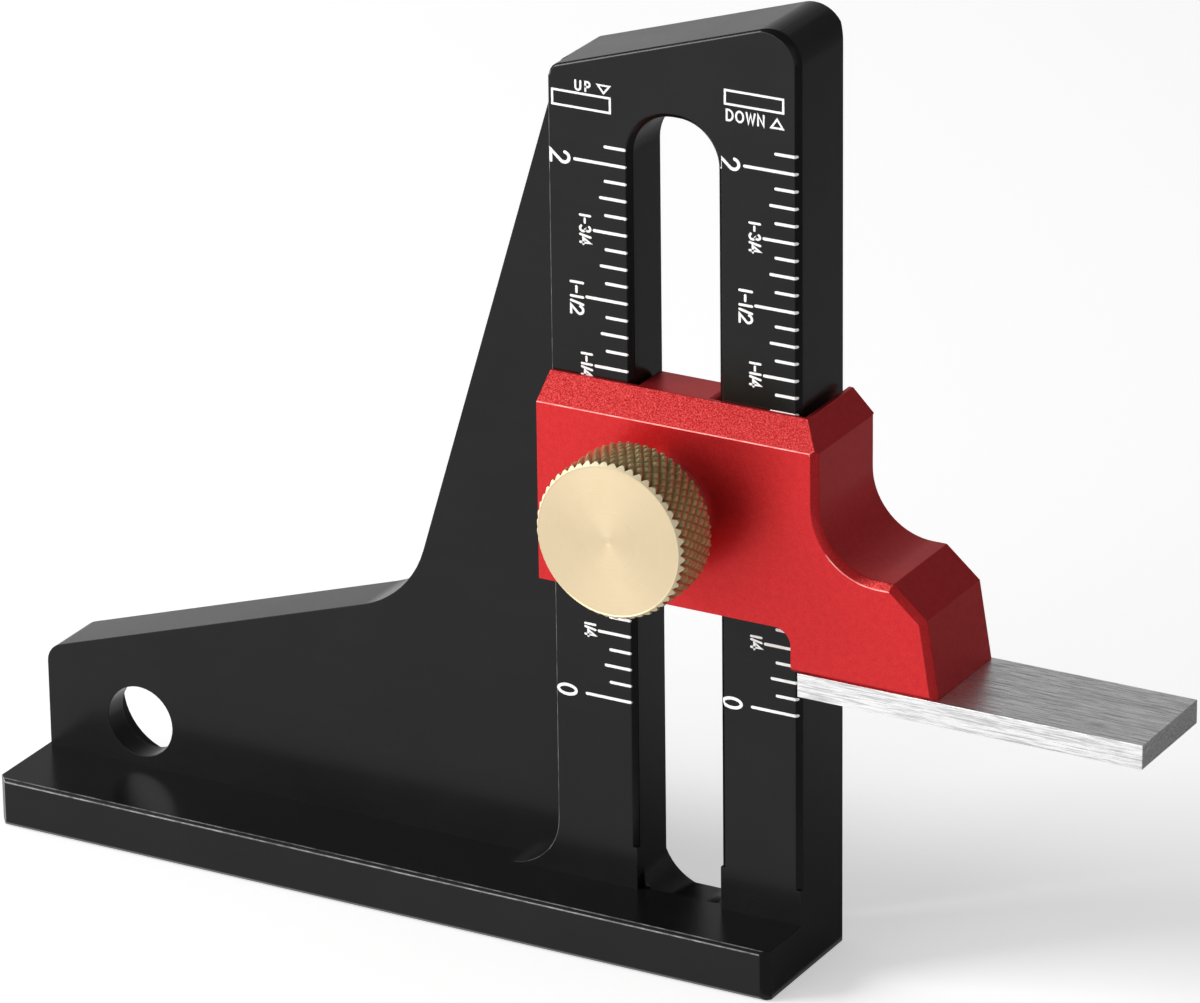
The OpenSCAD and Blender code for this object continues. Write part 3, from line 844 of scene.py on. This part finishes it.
def scale_strokes(zero_z, right_x):
    """The marks of one scale, as strokes."""
    strokes = []
    half = MARK_WIDTH / 2
    for k in range(MARK_COUNT):
        z = zero_z + k * SIXTEENTH
        left = right_x - mark_length(k) + half
        strokes.append(([(left, z), (right_x - half, z)], MARK_WIDTH, False))
    return strokes


def number_strokes(zero_z, right_x):
    """The numbers of one scale, read downwards, with their tops to the right."""
    strokes = []
    for k, words in NUMBERS.items():
        kind = BIG if len(words) == 1 else (SMALL if words.endswith("4") else MIDDLE)
        foot, height, pen, space, narrow, drop = kind
        steps = [SIGNS[letter][0] * height * narrow + space * (SLASH_SPACE_SHARE if letter == "/" else 1.0)
                 for letter in words]
        z = zero_z + k * SIXTEENTH + (sum(steps) - space) / 2 - drop
        for letter, step in zip(words, steps):
            for points, closed in SIGNS[letter][1]:
                laid = [(right_x + foot + v * height, z - u * height * narrow) for u, v in points]
                strokes.append((laid, pen, closed))
            z -= step
    return strokes


def word_strokes(sign):
    """The word of a sign, upright on the column's face, with its arrow."""
    strokes = []
    x, z, height = sign["x"], sign["z"], sign["height"]
    for letter in sign["word"]:
        wide, parts = SIGNS[letter]
        for points, closed in parts:
            strokes.append(([(x + u * height, z + v * height) for u, v in points], WORD_PEN, closed))
        x += wide * height + sign["space"]
    strokes.append((sign["arrow"], ARROW_PEN, True))
    return strokes


def window_strokes(sign):
    """The box beside a sign's word."""
    x0, x1, z0, z1 = sign["window"]
    return [([(x0, z0), (x1, z0), (x1, z1), (x0, z1)], WINDOW_PEN, True)]


def build_marks():
    scales = (("down", DOWN_ZERO_Z, DOWN_MARKS_RIGHT), ("up", UP_ZERO_Z, UP_MARKS_RIGHT))
    for name, zero_z, right_x in scales:
        add_marks(name + "_scale_marks", scale_strokes(zero_z, right_x))
    for name, zero_z, right_x in scales:
        add_marks(name + "_scale_numbers", number_strokes(zero_z, right_x))
    for name, sign in (("up", UP_SIGN), ("down", DOWN_SIGN)):
        add_marks(name + "_sign", word_strokes(sign))
        add_marks(name + "_window", window_strokes(sign))


build_marks()


# The knurled knob

def knob_ring(mesh, radii, y):
    """A ring of points about the knob's axis, each at its own radius."""
    ring = []
    for i, r in enumerate(radii):
        angle = 2 * math.pi * i / len(radii)
        ring.append(mesh.verts.new(((KNOB_X + r * math.cos(angle)) * MM, y * MM,
                                    (KNOB_Z + r * math.sin(angle)) * MM)))
    return ring


def crest_share(turns):
    """How far a place lies from its groove, from 0 in the groove to 1 on the crest."""
    return 1 - abs(turns % 1.0 - 0.5) * 2


def wear_share(first_groove, second_groove):
    """A share from 0 to 1 that differs from tooth to tooth, the same each time."""
    cell = (first_groove % KNURL_TEETH) * 12.9898 + (second_groove % KNURL_TEETH) * 78.233
    return (math.sin(cell) * 43758.5453) % 1.0


def knurl_radius(angle, along):
    """The rim's radius: straight teeth on the front chamfer, then two sets of slanting grooves that cross."""
    turns = angle / (2 * math.pi) * KNURL_TEETH
    slant = max(0.0, along - KNOB_BREAK_DEEP) / KNURL_SLANT
    deep = KNURL_DEPTH - KNURL_EASE * min(1.0, slant * KNURL_EASE_RATE)
    crest = min(FIRST_CREST_WIDTH * crest_share(turns + slant), crest_share(turns - slant))
    wear = wear_share(math.floor(turns + slant), math.floor(turns - slant))
    uneven = 1 - WORN_SHARE + WORN_SHARE * wear
    return KNOB_R - deep * (1 - min(1.0, CREST_WIDTH * crest) * uneven)


def build_knob():
    """The knob's head: its knurled rim with a turned chamfer, and its turned faces."""
    turned_slot, chamfer_highlight_slot = 1, 2
    around = KNURL_TEETH * KNURL_TOOTH_STEPS
    rim = KNOB_BACK - KNOB_FRONT - KNOB_BREAK_DEEP
    steps = [KNOB_BREAK_DEEP * k / KNOB_BREAK_STEPS for k in range(KNOB_BREAK_STEPS + 1)]
    steps += [KNOB_BREAK_DEEP + rim * k / KNOB_RIM_STEPS for k in range(1, KNOB_RIM_STEPS + 1)]
    mesh = bmesh.new()
    rings = []
    turned = []
    for along in steps:
        cap = KNOB_R - KNOB_BREAK * max(0.0, 1 - along / KNOB_BREAK_DEEP)
        radii = [knurl_radius(2 * math.pi * i / around, along) for i in range(around)]
        turned.append([r >= cap for r in radii])
        rings.append(knob_ring(mesh, [min(r, cap) for r in radii], KNOB_FRONT + along))
    for j in range(len(steps) - 1):
        for i, face in enumerate(join_rings(mesh, rings[j], rings[j + 1])):
            k = (i + 1) % around
            # faces of the turned chamfer take the paler brass: painted highlight
            if j < KNOB_BREAK_STEPS and turned[j][i] + turned[j][k] + turned[j + 1][i] + turned[j + 1][k] > 2:
                face.material_index = chamfer_highlight_slot
    # the turned front face, with a shallow step at its middle where the lathe's tool ran out
    previous = rings[0]
    for r, sink in KNOB_FACE_STEPS:
        ring = knob_ring(mesh, [r] * around, KNOB_FRONT + sink)
        for face in join_rings(mesh, ring, previous):
            face.material_index = turned_slot
        previous = ring
    for end in (previous, list(reversed(rings[-1]))):
        mesh.faces.new(end).material_index = turned_slot
    bmesh.ops.recalc_face_normals(mesh, faces=mesh.faces[:])
    piece = new_piece("knurled_knob", mesh, KNURLED, BRASS, BRASS_CHAMFER_HIGHLIGHT)
    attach(piece, "knob")
    return piece


def build_collar():
    """The plain collar behind the knob's head, which the solid has as well."""
    outline = ((COLLAR_R - COLLAR_BREAK, 0.0), (COLLAR_R, COLLAR_BREAK), (COLLAR_R, COLLAR_L - COLLAR_BREAK),
               (COLLAR_R - COLLAR_BREAK, COLLAR_L))
    mesh = bmesh.new()
    rings = [knob_ring(mesh, [r] * COLLAR_STEPS, KNOB_BACK + along) for r, along in outline]
    for a, b in zip(rings, rings[1:]):
        for face in join_rings(mesh, a, b):
            face.smooth = True
    mesh.faces.new(list(reversed(rings[0])))
    mesh.faces.new(rings[-1])
    bmesh.ops.recalc_face_normals(mesh, faces=mesh.faces[:])
    # its dark brass is painted shade, for the knob's head shades it
    piece = new_piece("knob_collar", mesh, COLLAR_SHADED_BRASS)
    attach(piece, "knob")


knob = build_knob()
build_collar()
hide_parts("clamp_knob")

dress("bar_screws", SCREW)
dress("clamp_screw", SCREW)
dress("clamp_washer", WASHER)
dress("clamp_nut", SCREW)


# The studio

def make_floor():
    """A pale floor that shows white to the camera and in reflections, and keeps the shadow."""
    material = bpy.data.materials.new("pale_floor")
    tree = empty_tree(material)
    ray = tree.nodes.new("ShaderNodeLightPath")
    mirrored = math_node(tree, "ADD", ray.outputs["Is Glossy Ray"], ray.outputs["Is Transmission Ray"],
                         clamp=True)
    seen = math_node(tree, "ADD", math_node(tree, "MULTIPLY", ray.outputs["Is Camera Ray"], FLOOR_GLOW),
                     math_node(tree, "MULTIPLY", mirrored, FLOOR_GLOW_MIRRORED))
    surface = put(tree, "ShaderNodeBsdfDiffuse", {"Color": (0.8, 0.8, 0.8, 1)})
    glow = put(tree, "ShaderNodeEmission", {"Color": (1, 1, 1, 1), "Strength": seen})
    both = put(tree, "ShaderNodeAddShader", {0: surface.outputs[0], 1: glow.outputs[0]})
    put(tree, "ShaderNodeOutputMaterial", {0: both.outputs[0]})
    mesh = bmesh.new()
    bmesh.ops.create_grid(mesh, x_segments=1, y_segments=1, size=FLOOR_HALF)
    floor = new_piece("studio_floor", mesh, material)
    floor.location.z = -FLOOR_DROP


def make_world():
    """Pale air all round near the horizon, dimmer overhead, and white to the camera."""
    world = bpy.data.worlds.new("studio_air")
    tree = empty_tree(world)
    ray = tree.nodes.new("ShaderNodeLightPath")
    up = put(tree, "ShaderNodeSeparateXYZ", {0: tree.nodes.new("ShaderNodeTexCoord").outputs["Generated"]})
    level = math_node(tree, "MULTIPLY", ramp(tree, up.outputs["Z"], 0.08, 0.26, 0.62, 0.46),
                      ramp(tree, up.outputs["Z"], 0.44, 0.62, 1.0, 0.3))
    strength = put(tree, "ShaderNodeMix", {0: ray.outputs["Is Camera Ray"], 2: level, 3: 1.0})
    air = put(tree, "ShaderNodeBackground", {"Color": (1, 1, 1, 1), "Strength": strength.outputs[0]})
    put(tree, "ShaderNodeOutputWorld", {0: air.outputs[0]})
    bpy.context.scene.world = world


def add_dark_card():
    """A dark card beside the gauge, which only its reflections show: it keeps the right faces deep, a painted
    shade in their reflections.
    """
    material = bpy.data.materials.new("dark_card")
    tree = empty_tree(material)
    # on the floor it is dark before the gauge and pale behind it, the pale part painting light back into the
    # gauge's shadow there, and upright it darkens with height; these shades set how dark the reflections in
    # the right faces are
    here = put(tree, "ShaderNodeSeparateXYZ", {0: tree.nodes.new("ShaderNodeTexCoord").outputs["Object"]})
    low = mix_colour(tree, ramp(tree, here.outputs["Y"], -0.012, -0.03), (0.5, 0.5, 0.505, 1),
                     (0.12, 0.12, 0.125, 1))
    upright = mix_colour(tree, ramp(tree, here.outputs["Z"], 0.03, 0.06), (0.25, 0.25, 0.255, 1),
                         (0.15, 0.15, 0.155, 1))
    shade = mix_colour(tree, ramp(tree, here.outputs["Z"], 0.0002, 0.0003), low, upright)
    surface = put(tree, "ShaderNodeBsdfDiffuse", {"Color": shade})
    put(tree, "ShaderNodeOutputMaterial", {0: surface.outputs[0]})
    mesh = bmesh.new()
    mesh.faces.new([mesh.verts.new((x, y, CARD_LOW_Z)) for x, y in CARD_LOW])
    mesh.faces.new([mesh.verts.new((CARD_UPRIGHT_X, y, z)) for y, z in CARD_UPRIGHT])
    mesh.faces.new([mesh.verts.new((x, CARD_BEHIND_Y, z)) for x, z in CARD_BEHIND])
    card = new_piece("dark_card", mesh, material)
    card.visible_camera = False
    card.visible_diffuse = False
    card.visible_shadow = False
    card.visible_transmission = False


def add_lamp(name, place, wide, high, power):
    """A soft lamp that looks at the middle of the gauge, its place in metres and its power in watts."""
    data = bpy.data.lights.new(name, "AREA")
    data.shape = "RECTANGLE"
    data.size = wide
    data.size_y = high
    data.energy = power
    lamp = bpy.data.objects.new(name, data)
    way = Vector(LAMP_TARGET) - Vector(place)
    lamp.matrix_world = Matrix.Translation(Vector(place)) @ way.to_track_quat("-Z", "Y").to_matrix().to_4x4()
    bpy.context.scene.collection.objects.link(lamp)


make_floor()
make_world()
add_dark_card()
add_lamp("front_softbox", place=(-0.98, -0.61, 0.64), wide=0.6, high=0.6, power=16.0)
add_lamp("low_softbox", place=(-0.5, -1.1, 0.35), wide=0.9, high=0.5, power=5.0)

bpy.context.scene.view_settings.view_transform = "Standard"
